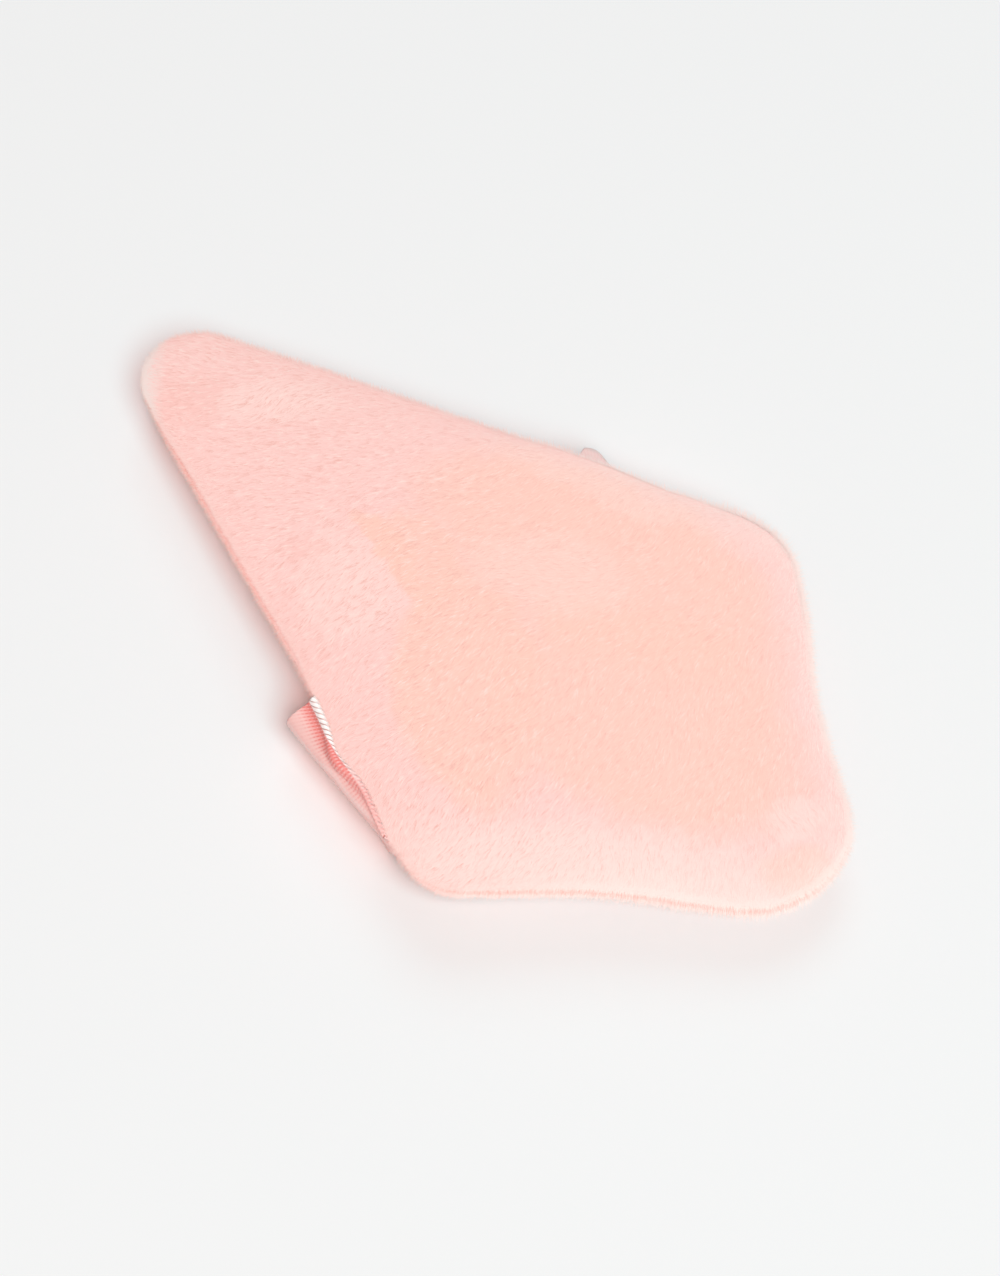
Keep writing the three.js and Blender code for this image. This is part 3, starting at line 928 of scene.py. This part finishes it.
# Faces of a doubled grid, its upper sheet first, and where each corner lies in its map
def sheetFaces(rows, columns, reach):
    index = np.arange(rows * columns).reshape(rows, columns)
    under = index + rows * columns
    v, u = np.meshgrid(np.linspace(0, 0.45, rows), reach, indexing="ij")
    flat = np.stack([u, v], -1)
    near, far = (slice(None, -1), slice(1, None))
    faces = []
    places = []
    for sheet, shift, turns in ((index, 0.01, (0, 1, 2, 3)), (under, 0.54, (0, 3, 2, 1))):
        corners = [(near, near), (far, near), (far, far), (near, far)]
        faces.append(np.stack([sheet[corners[k]] for k in turns], -1).reshape(-1, 4))
        places.append((np.stack([flat[corners[k]] for k in turns], 2) + (0, shift)).reshape(-1, 4, 2))
    sides = [(index[:, 0], under[:, 0], 0.47), (under[:, -1], index[:, -1], 0.485),
             (under[0], index[0], 0.5), (index[-1], under[-1], 0.515)]
    for first, second, height in sides:
        faces.append(np.stack([first[:-1], second[:-1], second[1:], first[1:]], -1))
        along = np.linspace(0, 1, len(first))
        low, high = np.full(len(first) - 1, height), np.full(len(first) - 1, height + 0.01)
        ends = [(along[:-1], low), (along[:-1], high), (along[1:], high), (along[1:], low)]
        places.append(np.stack([np.column_stack(end) for end in ends], 1))
    return np.concatenate(faces), np.concatenate(places)


def ribbon():
    lines = []
    for share in np.linspace(0, 1, satin["across"] + 1):
        halves = []
        for fold in (folds["right"], folds["left"]):
            bend, middle = ribbonLine(share, fold)
            flat = np.linspace(bend[-1], middle, satin["flatSteps"] + 1)[1:]
            halves.append(np.concatenate([pacedBy(bend, satin["pace"], satin["bendSteps"]), flat]))
        left = halves[1][:-1] * np.array([-1, 1, 1])
        lines.append(np.concatenate([halves[0], left[::-1]]))
    grid = np.array(lines)
    steps = np.linalg.norm(np.diff(grid, axis=1), axis=2)
    along = np.concatenate([np.zeros((len(grid), 1)), np.cumsum(steps, 1)], 1)
    normals = unit(np.cross(np.gradient(grid, axis=0), np.gradient(grid, axis=1)))
    fromTail = np.minimum(along, along[:, -1:] - along)
    fromSeam = fromTail - cloth["stitchInset"] - band["tailPastStitches"]
    rows, columns = along.shape
    across = np.repeat(np.linspace(0, band["width"], rows)[:, None], columns, 1)
    ribs = 0.5 + 0.5 * np.cos(2 * pi * (fromSeam - satin["twistLay"] * across) / satin["twistPitch"])
    lift = satin["rib"] * ribs * smooth(fromSeam, -0.8, -0.4) * (1 - smooth(fromSeam, 0.6, 1))
    grid = grid + normals * lift[:, :, None]
    half = band["thickness"] / 2
    points = np.concatenate([(grid + normals * half).reshape(-1, 3), (grid - normals * half).reshape(-1, 3)])
    faces, places = sheetFaces(rows, columns, along.mean(0) / along.mean(0)[-1])
    piece = makePiece("finger_band", points, faces, ribbonFinish())
    piece.data.uv_layers.new(name="OFBake").uv.foreach_set("vector", places.astype(np.float32).ravel())
    onRight = along < along[:, -1:] / 2
    # each side's share of the painted crease shade
    creased = np.where(onRight, folds["right"]["creased"], folds["left"]["creased"])
    stored = {"acrossRibbon": across.ravel(), "fromSeam": fromSeam.ravel(), "creased": creased.ravel()}
    for label, values in stored.items():
        attribute = piece.data.attributes.new(label, "FLOAT", "POINT")
        attribute.data.foreach_set("value", np.concatenate([values, values]).astype(np.float32))
    return piece, along[:, -1].mean()


fingerBand, ribbonLength = ribbon()
print("finger band folded from", round(ribbonLength, 1), "mm of ribbon")

# Filling
foam = {
    "cream": linear(244, 239, 230),
    "shade": linear(226, 216, 200),
}


def foamFinish():
    finish = Finish("sponge")
    place = finish.place()
    cells = finish.node("ShaderNodeTexVoronoi", {"feature": "F1"}, {"Vector": place, "Scale": 1.8})
    colour = finish.mix(finish.ease(cells, 0.1, 0.6), foam["shade"], foam["cream"])
    return finish.surface({
        "Base Color": colour,
        "Roughness": 0.95,
        "Specular IOR Level": 0.2,
        "Normal": finish.bump(cells, 0.8, 0.3),
    })


def sponge():
    edge = cloth["allowanceEnd"] + cloth["clearance"]
    halves = []
    for panel in (facePanel, backPanel):
        insets = ringInsets(panel, cloth["thickness"], 8, 12)
        insets = [inset for inset in insets if inset > edge + cloth["clearance"]] + [edge]
        halves.append([
            ringAt(inset, panel["side"],
                   panelHeight(panel, cloth["thickness"], panel["fill"], inset) - cloth["clearance"])
            for inset in insets
        ])
    rings = halves[0] + halves[1][::-1]
    points, faces = solidOfRings(rings[0].mean(0), rings, rings[-1].mean(0))
    return makePiece("foam_filling", points, faces, foamFinish())


filling = sponge()
print("filling cut")

# Sewing
sewing = {
    "pink": linear(243, 185, 176),
    "radius": 0.12,
    "sides": 8,
    "stitch": 2.4,
    "wave": 0.05,
    "threadClearance": 0.12,
    "turningGap": 22,
    "handStitch": 2.8,
    "ladderSwing": 0.2,
}


def threadFinish():
    finish = Finish("thread")
    along = finish.stored("alongThread")
    twist = finish.node("ShaderNodeMath", {"operation": "SINE"}, {0: along * (2 * pi / 0.35)})
    # darker in the twist's grooves: painted shade
    deep = tuple(value * 0.8 for value in sewing["pink"][:3]) + (1,)
    return finish.surface({
        "Base Color": finish.mix(finish.ease(twist, -1, 1), deep, sewing["pink"]),
        "Roughness": 0.6,
        "Sheen Weight": 0.3,
        "Normal": finish.bump(twist, 0.6, 0.04),
    })


def threadPiece(name, points, finish):
    ahead = np.gradient(points, axis=0)
    across = unit(np.column_stack([-ahead[:, 1], ahead[:, 0], 0 * ahead[:, 0]]))
    down = unit(np.cross(across, ahead))
    turns = 2 * pi * np.arange(sewing["sides"]) / sewing["sides"]
    rings = [
        p + sewing["radius"] * (np.outer(np.cos(turns), a) + np.outer(np.sin(turns), d))
        for p, a, d in zip(points, across, down)
    ]
    places, faces = solidOfRings(points[0], rings, points[-1])
    piece = makePiece(name, places, faces, finish)
    lengths = np.concatenate([[0], np.cumsum(np.linalg.norm(np.diff(points, axis=0), axis=1))])
    attribute = piece.data.attributes.new("alongThread", "FLOAT", "POINT")
    spread = np.concatenate([[0], np.repeat(lengths, sewing["sides"]), lengths[-1:]])
    attribute.data.foreach_set("value", spread.astype(np.float32))
    return piece


# Evenly spaced points along a line of points, with the distance of each
def paced(points, pace):
    lengths = np.concatenate([[0], np.cumsum(np.linalg.norm(np.diff(points, axis=0), axis=1))])
    distances = np.linspace(0, lengths[-1], int(lengths[-1] / pace) + 1)
    return np.column_stack([np.interp(distances, lengths, points[:, axis]) for axis in range(3)]), distances


gapSideStart = 3 * kite["cornerSteps"] + kite["longSideSteps"] + kite["shortSideSteps"]
gapSideEnd = gapSideStart + kite["shortSideSteps"]


def turningSide(ring):
    side, distances = paced(ring[gapSideStart:gapSideEnd + 1], 0.1)
    spare = (distances[-1] - sewing["turningGap"]) / 2
    return side, distances, spare


def machineThread(name, panel, finish):
    side = panel["side"]
    height = allowanceTop + sewing["threadClearance"] + sewing["radius"]
    ring = ringAt(cloth["stitchInset"], side, height)
    gapSide, distances, spare = turningSide(ring)
    before = gapSide[distances < spare]
    after = gapSide[distances > spare + sewing["turningGap"]]
    line = np.concatenate([after, ring[gapSideEnd + 1:], ring[:gapSideStart], before])
    points, distances = paced(line, sewing["stitch"] / 8)
    points[:, 2] += side * sewing["wave"] * (0.5 - 0.5 * np.cos(2 * pi * distances / sewing["stitch"]))
    return threadPiece(name, points, finish)


def handThread(name, finish):
    ring = ringAt(swell["edge"] + sewing["radius"], 1, 0)
    gapSide, distances, spare = turningSide(ring)
    line = gapSide[(distances > spare) & (distances < spare + sewing["turningGap"])]
    points, distances = paced(line, sewing["handStitch"] / 10)
    points[:, 2] += sewing["ladderSwing"] * np.cos(pi * distances / sewing["handStitch"])
    return threadPiece(name, points, finish)


threadPink = threadFinish()
needleThread = machineThread("upper_stitches", facePanel, threadPink)
bobbinThread = machineThread("lower_stitches", backPanel, threadPink)
ladderThread = handThread("ladder_stitches", threadPink)
print("seam stitched")

# What moves with what, and the model's own parts that these pieces take the place of, hidden
padPieces = [velourFace, velourBack, *facePile, *backPile, filling, needleThread, bobbinThread, ladderThread]
for piece in padPieces:
    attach(piece, "pad")
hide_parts("face_panel")
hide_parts("back_panel")
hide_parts("sponge_core")
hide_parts("needle_thread")
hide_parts("bobbin_thread")
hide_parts("closing_stitch")
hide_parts("finger_ribbon")
highBend = seamZ(kite["halfWidth"] * 0.8, bandY) * mm
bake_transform(fingerBand)
print("pieces joined")

# Floor, lamps and sky
studio = {
    "floor": linear(239, 239, 239),
    "floorSize": 6000,
    "skyColour": (1, 0.96, 0.93, 1),
    "sky": 0.19,
    "seenSky": 0.9,  # what the camera and reflections see of it
}
lamps = [
    {"name": "key", "from": (-0.4, -0.92), "elevation": 54, "away": 2600, "size": 1600, "power": 52,
     "colour": (0.57, 1, 1.04)},
    {"name": "front", "from": (-0.73, -0.68), "elevation": 62, "away": 4000, "size": 1800, "power": 40,
     "colour": (2.1, 0.78, 0.64)},
    {"name": "back", "from": (0.75, 0.66), "elevation": 45, "away": 2600, "size": 1600, "power": 12,
     "colour": (0.6, 1, 1.08)},
]


def studioFloor():
    finish = Finish("paper")
    shader = finish.surface({"Base Color": studio["floor"], "Roughness": 0.9, "Specular IOR Level": 0})
    half = studio["floorSize"] / 2
    corners = [(-half, -half, 0), (half, -half, 0), (half, half, 0), (-half, half, 0)]
    floor = makePiece("floor", corners, [(0, 1, 2, 3)], shader)


def lamp(settings):
    data = bpy.data.lights.new(settings["name"], "AREA")
    data.shape = "DISK"
    data.size = settings["size"] * mm
    data.energy = settings["power"]
    data.color = settings["colour"]
    lampObject = bpy.data.objects.new(settings["name"], data)
    rise = radians(settings["elevation"])
    level = Vector((*settings["from"], 0)).normalized()
    way = level * cos(rise) + Vector((0, 0, sin(rise)))
    lampObject.location = way * settings["away"] * mm
    lampObject.rotation_euler = way.to_track_quat("Z", "Y").to_euler()
    bpy.context.scene.collection.objects.link(lampObject)


def sky():
    world = bpy.data.worlds.new("studio")
    world.use_nodes = True
    nodes = world.node_tree.nodes
    links = world.node_tree.links
    ray = nodes.new("ShaderNodeLightPath")
    seen = nodes.new("ShaderNodeBackground")
    seen.inputs["Strength"].default_value = studio["seenSky"]
    nodes["Background"].inputs["Color"].default_value = studio["skyColour"]
    nodes["Background"].inputs["Strength"].default_value = studio["sky"]
    shader = nodes["Background"].outputs[0]
    for kind in ("Is Camera Ray", "Is Glossy Ray", "Is Transmission Ray"):
        choice = nodes.new("ShaderNodeMixShader")
        links.new(ray.outputs[kind], choice.inputs[0])
        links.new(shader, choice.inputs[1])
        links.new(seen.outputs[0], choice.inputs[2])
        shader = choice.outputs[0]
    links.new(shader, nodes["World Output"].inputs["Surface"])
    bpy.context.scene.world = world


studioFloor()
for settings in lamps:
    lamp(settings)
sky()
bpy.context.scene.view_settings.view_transform = "Standard"
print("studio lit")
